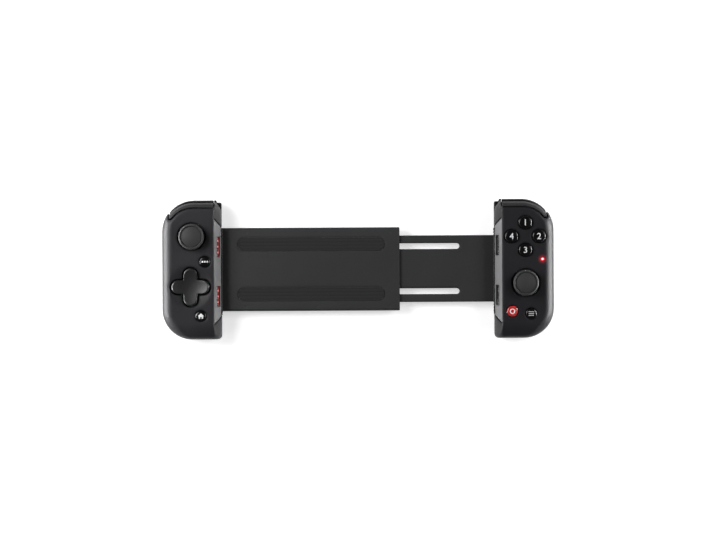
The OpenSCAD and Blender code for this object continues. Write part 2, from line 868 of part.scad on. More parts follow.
module charging_port() {
    color([0.7, 0.7, 0.72]) right() translate([port_u, port_set - grip_h / 2, board_z - port_h / 2])
        rotate([-90, 0, 0]) difference() {
            linear_extrude(port_len) port_plan();
            translate([0, 0, -1]) linear_extrude(port_len - 0.2) difference() {
                port_plan(-port_skin);
                square([port_w - 3.4, 0.7], center = true);
            }
        }
}

// Screws that close a grip
module grip_screw_set() {
    color("silver") for (s = grip_screws) {
        at(s, screw_sink) difference() {
            cylinder(r = screw_head_r, h = screw_head_h);
            translate([0, 0, -0.1]) for (turn = [0, 90]) rotate(turn)
                cube([2.2, 0.5, 1.4], center = true);
        }
        at(s, screw_floor) cylinder(r = screw_r, h = board_top + 5 - screw_floor);
    }
}

// Bridge: a flat sleeve fixed in the left grip, drawn in that grip's frame
module across_bridge(u0, u1) {
    translate([u0, 0, 0]) rotate([90, 0, 90]) linear_extrude(u1 - u0) children();
}

module bridge_screw_places() {
    for (u = bridge_screw_us, side = [-1, 1]) translate([-u, side * bridge_screw_v, 0]) children();
}

module bridge_tray() {
    half = sleeve_h / 2;
    c = sleeve_chamfer;
    color([0.1, 0.1, 0.11]) left() difference() {
        union() {
            difference() {
                union() {
                    across_bridge(-sleeve_len, bridge_root) polygon([
                        [-half, groove_z1], [-half, sleeve_z + c], [c - half, sleeve_z],
                        [half - c, sleeve_z], [half, sleeve_z + c], [half, groove_z1]
                    ]);
                    translate([bridge_root - flange_len + 0.2, -half - 1, sleeve_z - 0.8])
                        cube([flange_len - 0.2, sleeve_h + 2, groove_z1 - sleeve_z + 0.8]);
                }
                translate([-sleeve_len - 1, -groove_h / 2, groove_z0])
                    cube([sleeve_len + 1 + bridge_root - flange_len, groove_h, sleeve_t]);
                translate([0, -cable_swing - 2, groove_z0])
                    cube([2 * bridge_root, 2 * cable_swing + 4, sleeve_t]);
            }
            bridge_screw_places() translate([0, 0, groove_z0 - 0.2])
                cylinder(r = bridge_boss_r, h = groove_z1 - groove_z0 + 0.2);
            for (side = [-1, 1]) {
                translate([-roll_at[0], side * roll_at[1], groove_z0 - 0.2])
                    cylinder(r = roll_bore_r - run_gap, h = groove_z1 - groove_z0);
                translate([-clamp_x - guide_pin_x, side * guide_v, groove_z0 - 0.2])
                    cylinder(r = guide_pin_r, h = groove_z1 - groove_z0 + 0.1);
            }
        }
        bridge_screw_places() translate([0, 0, sleeve_z - 1]) {
            cylinder(r = bridge_screw_r + run_gap, h = sleeve_t);
            cylinder(r = 1.5, h = 1 + 0.9);
        }
    }
}

module bridge_cover() {
    half = sleeve_h / 2;
    c = sleeve_chamfer;
    color([0.13, 0.13, 0.14]) left() difference() {
        across_bridge(-sleeve_len, bridge_root) polygon([
            [-half, groove_z1], [half, groove_z1], [half, sleeve_top - c],
            [half - c, sleeve_top], [c - half, sleeve_top], [-half, sleeve_top - c]
        ]);
        for (side = [-1, 1]) bridge_pad_form(side, fit_gap);
        bridge_screw_places() translate([0, 0, groove_z1 - 1])
            cylinder(r = bridge_screw_r + run_gap, h = 1 + sleeve_wall - 0.4);
    }
}

module bridge_pad_form(side, grow = 0) {
    r = bridge_pad_w / 2;
    u0 = bridge_pad_end + r;
    u1 = sleeve_len - bridge_pad_end - r;
    translate([0, side * bridge_pad_v, sleeve_top - bridge_pad_sink])
        linear_extrude(bridge_pad_h + bridge_pad_sink) {
            for (u = [u0, u1]) translate([-u, 0]) circle(r + grow);
            translate([-u1, -r - grow]) square([u1 - u0, 2 * (r + grow)]);
        }
}

module bridge_pads() {
    color([0.05, 0.05, 0.05]) left() for (side = [-1, 1]) bridge_pad_form(side);
}

module bridge_screws() {
    color("silver") left() bridge_screw_places() {
        translate([0, 0, sleeve_z]) cylinder(r = 1.4, h = 0.9);
        translate([0, 0, sleeve_z + 0.9]) cylinder(r = bridge_screw_r, h = groove_z1 + 0.9 - sleeve_z - 0.9);
    }
}

// Retracting springs: rolled strips on posts, with their free ends on the tongue
module spring_roll(side) {
    color("gray") left() translate([-roll_at[0], side * roll_at[1], tongue_z0]) difference() {
        cylinder(r = roll_r, h = tongue_z1 - tongue_z0);
        translate([0, 0, -1]) cylinder(r = roll_bore_r, h = sleeve_t);
    }
}

module spring_strips() {
    tail = clamp_gap - tongue_len - roll_at[0];
    middle_v = roll_at[1] + roll_r + strip_t / 2;
    color("gray") left() for (side = [-1, 1])
        translate([-roll_at[0] - tail, side * middle_v - strip_t / 2, tongue_z0 + 0.3])
            cube([tail, strip_t, tongue_z1 - tongue_z0 - 0.6]);
}

// Cable between the halves: it lies in waves in the sleeve, with slack for the travel
module link_cable() {
    u0 = bridge_root;
    u1 = tongue_len - fork_len - clamp_gap + fit_gap;
    z = (groove_z0 + groove_z1) / 2;
    path = [for (i = [0:cable_rings]) let (s = i / cable_rings)
        [u0 + (u1 - u0) * s, cable_swing * sin(360 * cable_waves * s) * sin(180 * s), z]];
    color([0.08, 0.08, 0.08]) left() loft([for (i = [0:cable_rings]) let (
        ahead = path[min(i + 1, cable_rings)] - path[max(i - 1, 0)],
        heading = atan2(ahead[1], ahead[0])
    ) [for (k = [0:cable_sides - 1]) let (a = 360 * k / cable_sides)
        path[i] + cable_r * [-sin(heading) * cos(a), cos(heading) * cos(a), sin(a)]]]);
}

// Tongue: a flat fork fixed in the right grip, drawn in that grip's frame
module bridge_tongue() {
    guide_u = guide_pin_x - clamp_x;
    guide_r = guide_pin_r + slide_gap;
    color([0.2, 0.2, 0.21]) right() difference() {
        union() {
            translate([-tongue_len, -tongue_h / 2, tongue_z0])
                cube([tongue_len + bridge_root, tongue_h, tongue_z1 - tongue_z0]);
            translate([bridge_root - flange_len + 0.2, -tongue_h / 2 - 1.2, tongue_z0 - 0.8])
                cube([flange_len - 0.2, tongue_h + 2.4, tongue_z1 - tongue_z0 + 1.6]);
        }
        translate([-tongue_len - 1, -fork_half, 0]) cube([fork_len + 1, 2 * fork_half, grip_t]);
        for (side = [-1, 1]) translate([guide_u, side * guide_v, 0]) linear_extrude(grip_t) {
            for (reach = [-slide_out - fit_gap, slide_in + fit_gap]) translate([reach, 0]) circle(guide_r);
            translate([-slide_out - fit_gap, -guide_r])
                square([slide_in + slide_out + 2 * fit_gap, 2 * guide_r]);
        }
    }
}

left_front_shell();
left_rear_shell();
left() clamp_block();  // left_clamp_block
left() clamp_pad();  // left_clamp_pad
left() light_bar([0.8, 0.08, 0.08]);  // left_light_bar
left() circuit_board();  // left_circuit_board
battery();
left_button_membrane();
left() at(left_stick_at, stick_pivot_z) stick_module();  // left_stick_module
left() at(left_stick_at, stick_pivot_z) stick_yoke();  // left_stick_yoke
left() at(left_stick_at, stick_pivot_z) stick_pivot();  // left_stick_pivot
left() at(left_stick_at, stick_pivot_z) stick_stem();  // left_stick_stem
left() at(left_stick_at, stick_pivot_z) stick_cap();  // left_stick_cap
dpad_post();
dpad_spider();
dpad();
color([0.04, 0.04, 0.04]) left() small_button(select_at);  // select_button
color([0.04, 0.04, 0.04]) left() small_button(home_at);  // home_button
left() bumper();  // left_bumper
left() trigger();  // left_trigger
left() trigger_pin();  // left_trigger_pin
left() trigger_spring();  // left_trigger_spring
left() grip_screw_set();  // left_grip_screws
bridge_tray();
bridge_cover();
bridge_pads();
bridge_screws();
spring_roll(1);  // upper_spring_roll
spring_roll(-1);  // lower_spring_roll
spring_strips();
link_cable();
bridge_tongue();
right_front_shell();
right_rear_shell();
right() clamp_block();  // right_clamp_block
right() clamp_pad();  // right_clamp_pad
right() light_bar([0.05, 0.03, 0.03]);  // right_light_bar
right() circuit_board();  // right_circuit_board
right_button_membrane();
right() at(right_stick_at, stick_pivot_z) stick_module();  // right_stick_module
right() at(right_stick_at, stick_pivot_z) stick_yoke();  // right_stick_yoke
right() at(right_stick_at, stick_pivot_z) stick_pivot();  // right_stick_pivot
right() at(right_stick_at, stick_pivot_z) stick_stem();  // right_stick_stem
right() at(right_stick_at, stick_pivot_z) stick_cap();  // right_stick_cap
main_button(1);  // button_1
main_button(0);  // button_2
main_button(3);  // button_3
main_button(2);  // button_4
color([0.75, 0.06, 0.06]) right() small_button(turbo_at);  // turbo_button
color([0.04, 0.04, 0.04]) right() small_button(menu_at);  // menu_button
status_light();
charging_port();
right() bumper();  // right_bumper
right() trigger();  // right_trigger
right() trigger_pin();  // right_trigger_pin
right() trigger_spring();  // right_trigger_spring
right() grip_screw_set();  // right_grip_screws
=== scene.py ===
import json
import math

import bpy
import numpy as np
import openvdb
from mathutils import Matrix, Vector
from mathutils.geometry import delaunay_2d_cdt

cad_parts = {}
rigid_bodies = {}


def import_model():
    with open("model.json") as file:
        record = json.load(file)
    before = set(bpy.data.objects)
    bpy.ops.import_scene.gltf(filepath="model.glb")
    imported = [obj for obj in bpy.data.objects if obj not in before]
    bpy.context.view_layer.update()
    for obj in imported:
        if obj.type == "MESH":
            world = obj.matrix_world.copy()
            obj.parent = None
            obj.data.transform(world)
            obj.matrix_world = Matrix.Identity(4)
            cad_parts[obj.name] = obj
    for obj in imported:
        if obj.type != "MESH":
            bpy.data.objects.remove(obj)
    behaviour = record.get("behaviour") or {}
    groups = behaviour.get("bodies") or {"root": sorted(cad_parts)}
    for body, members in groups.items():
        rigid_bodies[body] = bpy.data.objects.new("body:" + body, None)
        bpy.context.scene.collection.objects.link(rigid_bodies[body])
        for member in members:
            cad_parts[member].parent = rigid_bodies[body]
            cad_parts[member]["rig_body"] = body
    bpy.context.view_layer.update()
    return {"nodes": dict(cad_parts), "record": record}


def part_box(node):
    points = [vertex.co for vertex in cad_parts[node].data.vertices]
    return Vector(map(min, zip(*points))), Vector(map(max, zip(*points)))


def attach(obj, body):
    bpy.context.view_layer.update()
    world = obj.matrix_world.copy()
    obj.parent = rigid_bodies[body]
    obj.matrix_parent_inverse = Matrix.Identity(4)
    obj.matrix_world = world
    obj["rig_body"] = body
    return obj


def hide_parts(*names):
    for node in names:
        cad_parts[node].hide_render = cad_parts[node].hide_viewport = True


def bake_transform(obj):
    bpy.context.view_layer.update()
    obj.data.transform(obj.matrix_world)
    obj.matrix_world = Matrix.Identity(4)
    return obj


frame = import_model()

# Units: shapes are worked out in millimetres and stored in metres
MM = 0.001

# Sides, and the bodies of the two halves, which the bridge joins
SIDES = ("left", "right")

# Fold, in degrees, from which an edge of a built mesh is sharp
SHARP_FOLD = 40

# Softened forms: grid band on each side of a surface, weld distance, how far flat areas are merged, and
# the most cells that a point moves onto the surface
BAND = 5
MARGIN = BAND + 2
WELD = 0.001
FLATTEN = 0.02
NUDGE = 0.3

# Pieces that only soften their solid: grid cell, and the width over which edges are rounded
SOFT_BY_SIDE = {
    "clamp_block": (0.2, 0.18), "bumper": (0.2, 0.15), "trigger": (0.22, 0.25), "light_bar": (0.12, 0.08)}
SOFT_BRIDGE = {"bridge_tray": (0.32, 0.2), "bridge_cover": (0.3, 0.18), "bridge_tongue": (0.3, 0.2)}

# Shells: grid cell, and how far edges are rounded in general, along the shoulder and on the bevel
SHELL_CELL = 0.3
SHELL_SOFT = 0.26
SHOULDER_SOFT = 0.45
BEVEL_SOFT = 0.75

# Grip outline: corner radii, the bevel around the face and the strip along the shoulder pieces
SHOULDER_R = 19.0
HEEL_R = 18.0
BEVEL_W = 4.0
BEVEL_FOOT_Z = 17.0
SHOULDER_W = 6.0
BLEND_W = 1.2

# Heel: the face rolls off towards it, over this width and by this drop at its end
ROLL_W = 9.5
ROLL_DROP = 3.2

# Thumbstick, from its pivot, with the angles at which its skirt begins inside and ends outside and at which
# the neck's fillet begins, and the knurl around its rim
STICK_PIVOT_Z = 14.4
SKIRT_R = 10.4
SKIRT_T = 1.0
SKIRT_CUT = 2.5
SKIRT_TOP = 86
SKIRT_NECK = 64
NECK_R = 4.0
NECK_FILLET = 0.7
NECK_GAP = 0.1
NECK_TURN = 200
CAP_BASE = 12.6
CAP_R = 7.6
CAP_EDGE = 0.9
CAP_LIP = 0.3
CAP_GROOVE_R = 6.4
CAP_GROOVE_W = 0.25
CAP_GROOVE_FLOOR = 0.1
CAP_GROOVE_H = 1.1
CAP_DOME = 0.7
CAP_DISC_EDGE = 0.4
CAP_STEPS = 240
RIB_COUNT = 60
RIB_DEPTH = 0.07
RIB_INSET = 0.3

# Direction pad: dished from end to end, with a dimple on each arm, in a shallow bowl of the face
PAD_CELL = 0.2
PAD_SOFT = 0.28
PAD_DISH_R = 38.0
PAD_DISH = 1.6
PAD_DISH_EDGE = 0.3
DIMPLE_R = 1.3
DIMPLE_DEPTH = 0.35
DIMPLE_REACH = 7.4
DIMPLE_EDGE = 0.2
BOWL_R = 12.8
BOWL_DEPTH = 1.4
BOWL_SLOPE = 0.23
BOWL_EDGE = 0.2

# Buttons: flange under the face, rounded edge with its height by its width, straight side and crown
FLANGE_W = 0.5
FLANGE_T = 1.2
BUTTON_EDGE = 0.8
BUTTON_EDGE_RISE = 0.6
BUTTON_SIDE = 0.6
BUTTON_CROWN = 0.35
BUTTON_STEPS = 72
EDGE_RINGS = 8
CROWN_RINGS = (0.8, 0.6, 0.4, 0.2, 0)

# Marks on the buttons: half thickness, longest edge, and the distance within which corners are one
MARK_LIFT = 0.05
MARK_STEP = 0.45
MARK_SNAP = 0.001
NUMERAL_SIZE = 5.2
NUMERAL_BOLD = 0.03
DOT_R = 0.52
DOT_PITCH = 1.45
BAR_HALF = (1.6, 0.24)
BAR_PITCH = 1.1
RING_RADII = (1.6, 1.05)
RING_STEPS = 48
HOUSE = [(-1.9, 0.0), (0.0, 1.7), (1.9, 0.0), (1.3, 0.0), (1.3, -1.5), (0.45, -1.5), (0.45, -0.4),
         (-0.45, -0.4), (-0.45, -1.5), (-1.3, -1.5), (-1.3, 0.0)]

# Rubber pads: grid cell, softening, and pitch and radius of the grooves between ribs
CLAMP_PAD = (0.16, 0.12, 1.8, 0.34)
BRIDGE_PAD = (0.22, 0.14, 2.0, 0.28)
GROOVE_EDGE = 0.1

# Light slots along each clamp block, up their sloping face, and the bright spots in them
SLOPE_RISE = 5.1
SLOPE_RUN = 4.4
SLOT_MIDDLES = (13.7, -15.9)
SLOT_LEN = 12.0
SLOT_SHIFT = -1.3
SLOT_DEPTH = 2.0
SPOT_COUNT = 3
SPOT_R = 0.6
SPOT_BASE = 0.9
SPOT_STEPS = 32

# Status light: height of its dome and the angle, in radians, of its first ring, reach of its core by its
# radius, and the painted glow around it on the face: its red light painted as emission into the face
STATUS_DOME = 0.35
STATUS_START = 0.1
STATUS_RINGS = 8
STATUS_STEPS = 40
STATUS_CORE = 1.1
STATUS_POWER = 2.2
GLOW_REACH = 4.0
GLOW_POWER = 0.8

# Cable in the sleeve: waves that die out towards both ends
CABLE_R = 1.0
CABLE_SWING = 3.6
CABLE_WAVES = 3
CABLE_RINGS = 160
TUBE_SIDES = 20

# Rolled springs' strips: half thickness, and how square their section is (1 is round)
SPRING_HALF_T = 0.15
SPRING_SQUARE = 0.3

# Camera: far off, square to the front, with the slight turn that the photograph has; its scale holds
# at the height of the grips' outline. Distances are in metres, and the shift CAMERA_V in millimetres
IMAGE_W = 716
MM_PER_PIXEL = 0.5975
CAMERA_DISTANCE = 3.0
CAMERA_CLIP = 50
OUTLINE_Z = 0.018
CAMERA_TURN = -0.3
CAMERA_V = -0.6
SENSOR_W = 36.0

# Light, in metres and watts: world strength to the sides and elsewhere, a low strip lamp on each side, and
# a higher square lamp on each side by place, size and power
WORLD_SIDES = 0.95
WORLD_DIM = 0.08
STRIP_PLACE = (0.34, 0.0, 0.022)
STRIP_SIZE = (0.22, 0.036)
STRIP_POWER = 1.7
BOXES = {"left_box": ((-0.42, 0.15, 0.46), 0.3, 3.2), "right_box": ((0.42, 0.12, 0.44), 0.2, 1.1)}

# Floor, in metres: half size, drop below the object, shade, and its own share of white
FLOOR_HALF = 6.0
FLOOR_DROP = 0.0002
FLOOR_SHADE = (0.8, 0.8, 0.8, 1)
FLOOR_WHITE = 0.55

# Material slot of each node
slot_of = {row["node"]: row["material_slot"] for row in frame["record"]["subparts"]}


def body_of(node):
    return frame["nodes"][node]["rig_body"]


def box_mm(node):
    low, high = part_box(node)
    return np.array(low) / MM, np.array(high) / MM


def middle_mm(node):
    low, high = box_mm(node)
    return (low + high) / 2


def top_mm(node):
    """Middle of a node's top."""
    return np.array([*middle_mm(node)[:2], box_mm(node)[1][2]])


def arc(centre, radius, start, end, steps):
    """Points (radius from the axis, height) along an arc, angles in degrees."""
    angles = np.radians(np.linspace(start, end, steps + 1))
    return [(centre[0] + radius * math.cos(a), centre[1] + radius * math.sin(a)) for a in angles]


# Shader nodes


def feed(tree, socket, value):
    """Links a socket to another one, or sets its value."""
    if isinstance(value, bpy.types.NodeSocket):
        tree.links.new(value, socket)
    else:
        socket.default_value = value


def add_node(tree, kind, inputs=None, **settings):
    node = tree.nodes.new(kind)
    for name, value in settings.items():
        setattr(node, name, value)
    for name, value in (inputs or {}).items():
        feed(tree, node.inputs[name], value)
    return node


def maths(tree, operation, first, second):
    return add_node(tree, "ShaderNodeMath", {0: first, 1: second}, operation=operation).outputs["Value"]


def ranged(tree, value, start, end, low, high):
    """A value mapped from between start and end to between low and high."""
    return add_node(tree, "ShaderNodeMapRange", {
        "Value": value, "From Min": start, "From Max": end, "To Min": low, "To Max": high,
    }).outputs["Result"]


# Finishes


class Finish:
    """A node-built material: one shader, with textures in the part's own coordinates."""

    # Where a noise is mostly found, between its ends of 0 and 1
    USUAL = (0.3, 0.7)

    def __init__(self, name, **sockets):
        self.material = bpy.data.materials.new(name)
        self.material.use_nodes = True
        self.tree = self.material.node_tree
        self.shader = self.tree.nodes["Principled BSDF"]
        self.coords = add_node(self.tree, "ShaderNodeTexCoord").outputs["Object"]
        for socket, value in sockets.items():
            self.set(socket.replace("_", " "), value)

    def set(self, socket, value):
        feed(self.tree, self.shader.inputs[socket], value)

    def noise(self, scale, detail=2.0, roughness=0.5, coords=None):
        return add_node(self.tree, "ShaderNodeTexNoise", {
            "Vector": coords or self.coords, "Scale": scale, "Detail": detail, "Roughness": roughness,
        }).outputs["Fac"]

    def spread(self, value, low, high):
        """A value's usual range stretched to lie between low and high."""
        return ranged(self.tree, value, *self.USUAL, low, high)

    def ramp(self, value, dark, light):
        ramp = add_node(self.tree, "ShaderNodeValToRGB", {"Fac": value})
        for stop, place, colour in zip(ramp.color_ramp.elements, self.USUAL, (dark, light)):
            stop.position = place
            stop.color = (*colour, 1)
        return ramp.outputs["Color"]

    def tint(self, value, colour, low, high):
        """The colour, between low and high times its strength."""
        shades = [[c * factor for c in colour] for factor in (low, high)]
        self.set("Base Color", self.ramp(value, *shades))

    def bump(self, height, depth, strength=0.5):
        bump = add_node(self.tree, "ShaderNodeBump", {
            "Height": height, "Distance": depth, "Strength": strength})
        self.set("Normal", bump.outputs["Normal"])

    def near(self, place, reach):
        """1 at a place, falling to 0 at a distance of reach."""
        gap = add_node(self.tree, "ShaderNodeVectorMath", {0: self.coords, 1: place}, operation="DISTANCE")
        return ranged(self.tree, gap.outputs["Value"], 0, reach, 1, 0)

    def glow(self, place, colour, reach, strength):
        """Painted glow: the light of a lamp at place, painted as emission on the surface around it."""
        fall = maths(self.tree, "POWER", self.near(place, reach), 3.0)
        self.set("Emission Color", (*colour, 1))
        self.set("Emission Strength", maths(self.tree, "MULTIPLY", fall, strength))


def moulded(name, colour, roughness, grain=2600.0, depth=0.00004, strength=0.35, specular=0.5):
    """Moulded plastic with a fine spark grain, and slight drifts of shade and gloss."""
    finish = Finish(name, Specular_IOR_Level=specular)
    fine = finish.noise(grain, detail=3.0, roughness=0.6)
    drift = finish.noise(38.0, detail=3.0)
    finish.tint(drift, colour, 0.86, 1.14)
    finish.set("Roughness", finish.spread(fine, roughness - 0.06, roughness + 0.06))
    finish.bump(fine, depth, strength)
    return finish


def polished(name, colour, roughness, coat, specular=0.5):
    """Glossy moulding: an even colour under a clear coat, with faint smears in its gloss."""
    finish = Finish(name, Coat_Weight=coat, Coat_Roughness=0.06, Specular_IOR_Level=specular)
    smear = finish.noise(420.0, detail=4.0, roughness=0.6)
    finish.tint(smear, colour, 0.85, 1.15)
    finish.set("Roughness", finish.spread(smear, roughness - 0.03, roughness + 0.05))
    finish.bump(finish.noise(900.0), depth=0.00001, strength=0.15)
    return finish


def rubber(name, colour, roughness=0.72, sheen=0.25):
    """Soft-touch rubber: dull, dusty in its grain."""
    finish = Finish(name, Sheen_Weight=sheen, Sheen_Roughness=0.45, Specular_IOR_Level=0.35)
    grain = finish.noise(3400.0, detail=4.0, roughness=0.65)
    finish.tint(grain, colour, 0.8, 1.2)
    finish.set("Roughness", finish.spread(grain, roughness - 0.08, roughness + 0.08))
    finish.bump(grain, depth=0.00005, strength=0.45)
    return finish


def metal(name, colour, roughness):
    """Drawn metal: fine streaks along the bridge."""
    finish = Finish(name, Metallic=1.0)
    stretch = add_node(finish.tree, "ShaderNodeMapping", {
        "Vector": finish.coords, "Scale": (300.0, 5000.0, 5000.0)})
    streak = finish.noise(1.0, detail=3.0, roughness=0.6, coords=stretch.outputs["Vector"])
    finish.tint(streak, colour, 0.85, 1)
    finish.set("Roughness", finish.spread(streak, roughness - 0.08, roughness + 0.1))
    finish.bump(streak, depth=0.00001, strength=0.3)
    return finish


def lamp_lens(name, colour, strength):
    """Lit lens: colour under a glossy skin, brighter where the lens is clear."""
    finish = Finish(name, Coat_Weight=0.4, Roughness=0.25, Emission_Color=(*colour, 1))
    cloud = finish.noise(1600.0)
    finish.tint(cloud, colour, 0.7, 1)
    finish.set("Emission Strength", finish.spread(cloud, strength * 0.8, strength * 1.2))
    return finish


def pinpoint(name, place, rim, core, reach, strength):
    """Small lamp: a pale core at place inside a coloured rim, and unlit from twice the reach on."""
    finish = Finish(name, Base_Color=(*rim, 1), Coat_Weight=0.4)
    near = finish.near(place, reach)
    lit = ranged(finish.tree, finish.near(place, 2 * reach), 0, 0.4, 0, 1)
    power = maths(finish.tree, "MULTIPLY", finish.spread(near, 0.2 * strength, strength), lit)
    finish.set("Emission Color", finish.ramp(near, rim, core))
    finish.set("Emission Strength", power)
    finish.set("Roughness", finish.spread(finish.noise(1600.0), 0.2, 0.3))
    return finish


def circuit(name):
    """Solder mask over copper tracks."""
    finish = Finish(name, Coat_Weight=0.3)
    track = add_node(finish.tree, "ShaderNodeTexBrick", {
        "Vector": finish.coords, "Scale": 260.0, "Color1": (0.012, 0.075, 0.035, 1),
        "Color2": (0.016, 0.1, 0.045, 1), "Mortar": (0.006, 0.045, 0.02, 1), "Mortar Size": 0.03})
    finish.set("Base Color", track.outputs["Color"])
    finish.set("Roughness", finish.spread(finish.noise(800.0), 0.3, 0.5))
    finish.bump(track.outputs["Fac"], depth=0.00004)
    return finish


def foil(name):
    """Wrapped battery cell: crinkled grey film."""
    finish = Finish(name, Metallic=0.6)
    crease = finish.noise(160.0, detail=5.0, roughness=0.7)
    finish.set("Base Color", finish.ramp(crease, (0.22, 0.23, 0.24), (0.36, 0.37, 0.38)))
    finish.set("Roughness", finish.spread(crease, 0.25, 0.45))
    finish.bump(crease, depth=0.0002, strength=0.4)
    return finish


FINISHES = {
    "face_plastic": moulded("face_plastic", (0.021, 0.0206, 0.023), 0.42, specular=0.2),
    "rear_plastic": moulded("rear_plastic", (0.009, 0.009, 0.01), 0.58, 1500.0, 0.0001, 0.5, specular=0.15),
    # clamp_plastic is painted lighter than the face plastic: a painted reflection, standing in for the light
    # that the clamp blocks' sloping faces reflect
    "clamp_plastic": moulded("clamp_plastic", (0.125, 0.125, 0.129), 0.42, specular=0.42),
    "bridge_plastic": moulded("bridge_plastic", (0.013, 0.013, 0.014), 0.55, 1900.0, 0.00006),
    "pad_rubber": rubber("pad_rubber", (0.013, 0.013, 0.014), 0.8),
    "red_light": lamp_lens("red_light", (0.2, 0.004, 0.005), 0.25),
    "dark_lens": polished("dark_lens", (0.006, 0.004, 0.004), 0.2, coat=0.4),
    "board": circuit("board"),
    "battery_foil": foil("battery_foil"),
    "silicone": rubber("silicone", (0.3, 0.3, 0.3), 0.6),
    "steel": metal("steel", (0.5, 0.5, 0.52), 0.32),
    "bearing_plastic": moulded("bearing_plastic", (0.55, 0.54, 0.5), 0.4),
    "stick_rubber": rubber("stick_rubber", (0.028, 0.028, 0.029), 0.55, sheen=0.05),
    "dpad_plastic": moulded("dpad_plastic", (0.007, 0.007, 0.008), 0.38, specular=0.6),
    "button_gloss": polished("button_gloss", (0.0015, 0.0015, 0.002), 0.16, coat=0.4, specular=0.3),
    "red_gloss": polished("red_gloss", (0.45, 0.022, 0.022), 0.16, coat=0.5),
    "bumper_plastic": moulded("bumper_plastic", (0.031, 0.031, 0.032), 0.5, specular=0.1),
    "trigger_gloss": polished("trigger_gloss", (0.003, 0.003, 0.004), 0.3, coat=0.0, specular=0.1),
    "cable_jacket": rubber("cable_jacket", (0.015, 0.015, 0.015)),
}
# The right grip's face plastic, painted darker than the left's as painted shade, and carrying the painted
# glow of the status light
PAINTED_RIGHT_FACE = moulded("right_face_painted_shade_and_glow", (0.0135, 0.0132, 0.0152), 0.42, specular=0.2)
# Painted glow: the status light's red light painted as emission onto the right face around it
PAINTED_RIGHT_FACE.glow(tuple(top_mm("status_light") * MM), (1.0, 0.02, 0.04), GLOW_REACH * MM, GLOW_POWER)
MARK_WHITE = polished("mark_white", (0.78, 0.78, 0.78), 0.4, coat=0.1)
MARK_GREY = polished("mark_grey", (0.42, 0.42, 0.43), 0.4, coat=0.1)
SPOT_GLOW = lamp_lens("spot_glow", (0.9, 0.22, 0.2), 0.6)

for node, cad in frame["nodes"].items():
    cad.data.materials.clear()
    cad.data.materials.append(FINISHES[slot_of[node]].material)


# Pieces


def add_piece(name, mesh, finish, body):
    """A piece on a body, or one that reaches across the slide when body is None."""
    mesh.materials.append(finish.material)
    piece = bpy.data.objects.new(name, mesh)
    bpy.context.scene.collection.objects.link(piece)
    if body:
        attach(piece, body)
    else:
        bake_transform(piece)
    return piece


def stand_for(node, mesh, finish=None, slack=False):
    """A piece in a node's place, on its body or slack between the halves, and in its material slot."""
    slot = slot_of[node]
    body = None if slack else body_of(node)
    piece = add_piece(node + "_shape", mesh, finish or FINISHES[slot], body)
    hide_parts(node)


def smooth_mesh(name, points, faces):
    """A mesh from points in millimetres, smooth apart from its sharp edges."""
    mesh = bpy.data.meshes.new(name)
    mesh.from_pydata((np.array(points) * MM).tolist(), [], faces)
    mesh.shade_smooth()
    mesh.set_sharp_from_angle(angle=math.radians(SHARP_FOLD))
    return mesh


def lathe(name, profile, place, steps, ribs=None):
    """A mesh turned about the upright through place, from (radius, height) points, axis to axis."""
    angles = 2 * math.pi * np.arange(steps) / steps
    points = []
    rings = []
    for radius, height in profile:
        if radius < 1e-6:
            rings.append([len(points)])
            points.append((place[0], place[1], height))
            continue
        turned = np.full(steps, radius)
        if ribs and radius > ribs["over"] and height > ribs["above"]:
            turned = radius - ribs["depth"] * (1 - np.cos(ribs["count"] * angles)) / 2
        rings.append(list(range(len(points), len(points) + steps)))
        points += [(place[0] + r * math.cos(a), place[1] + r * math.sin(a), height)
                   for r, a in zip(turned, angles)]
    faces = []
    for below, above in zip(rings, rings[1:]):
        for i in range(steps):
            j = (i + 1) % steps
            lower = [below[i % len(below)], below[j % len(below)]]
            upper = [above[j % len(above)], above[i % len(above)]]
            faces.append(list(dict.fromkeys(lower + upper)))
    return smooth_mesh(name, points, faces)


def tubes(name, paths, half_w, half_h, square=1.0):
    """Closed tubes along level paths, round or with a squarer section."""
    points, faces = [], []
    around = 2 * math.pi * np.arange(TUBE_SIDES) / TUBE_SIDES
    across, up = (np.sign(part) * np.abs(part) ** square for part in (np.cos(around), np.sin(around)))
    for path in paths:
        ahead = np.gradient(path, axis=0)
        heading = np.arctan2(ahead[:, 1], ahead[:, 0])[:, None]
        ring = np.stack([-np.sin(heading) * half_w * across, np.cos(heading) * half_w * across,
                         half_h * up + 0 * heading], axis=2)
        start = len(points)
        points += (path[:, None, :] + ring).reshape(-1, 3).tolist()
        faces += [list(range(start, start + TUBE_SIDES)),
                  list(range(len(points) - 1, len(points) - 1 - TUBE_SIDES, -1))]
        for first in range(start, len(points) - TUBE_SIDES, TUBE_SIDES):
            for k in range(TUBE_SIDES):
                turn = (k + 1) % TUBE_SIDES
                faces.append([first + k, first + TUBE_SIDES + k, first + TUBE_SIDES + turn, first + turn])
    return smooth_mesh(name, points, faces)


# Softened forms


def node_triangles(node):
    """A node's corner points in millimetres, welded, and its triangles."""
    mesh = frame["nodes"][node].data
    mesh.calc_loop_triangles()
    points = np.zeros(3 * len(mesh.vertices), np.float32)
    mesh.vertices.foreach_get("co", points)
    points = points.reshape(-1, 3) / MM
    corners = np.zeros(3 * len(mesh.loop_triangles), np.int32)
    mesh.loop_triangles.foreach_get("vertices", corners)
    keys = np.round(points / WELD).astype(np.int64)
    _, first, group = np.unique(keys, axis=0, return_index=True, return_inverse=True)
    triangles = group.ravel()[corners].reshape(-1, 3)
    folded = (triangles == np.roll(triangles, 1, axis=1)).any(axis=1)
    return points[first], triangles[~folded]


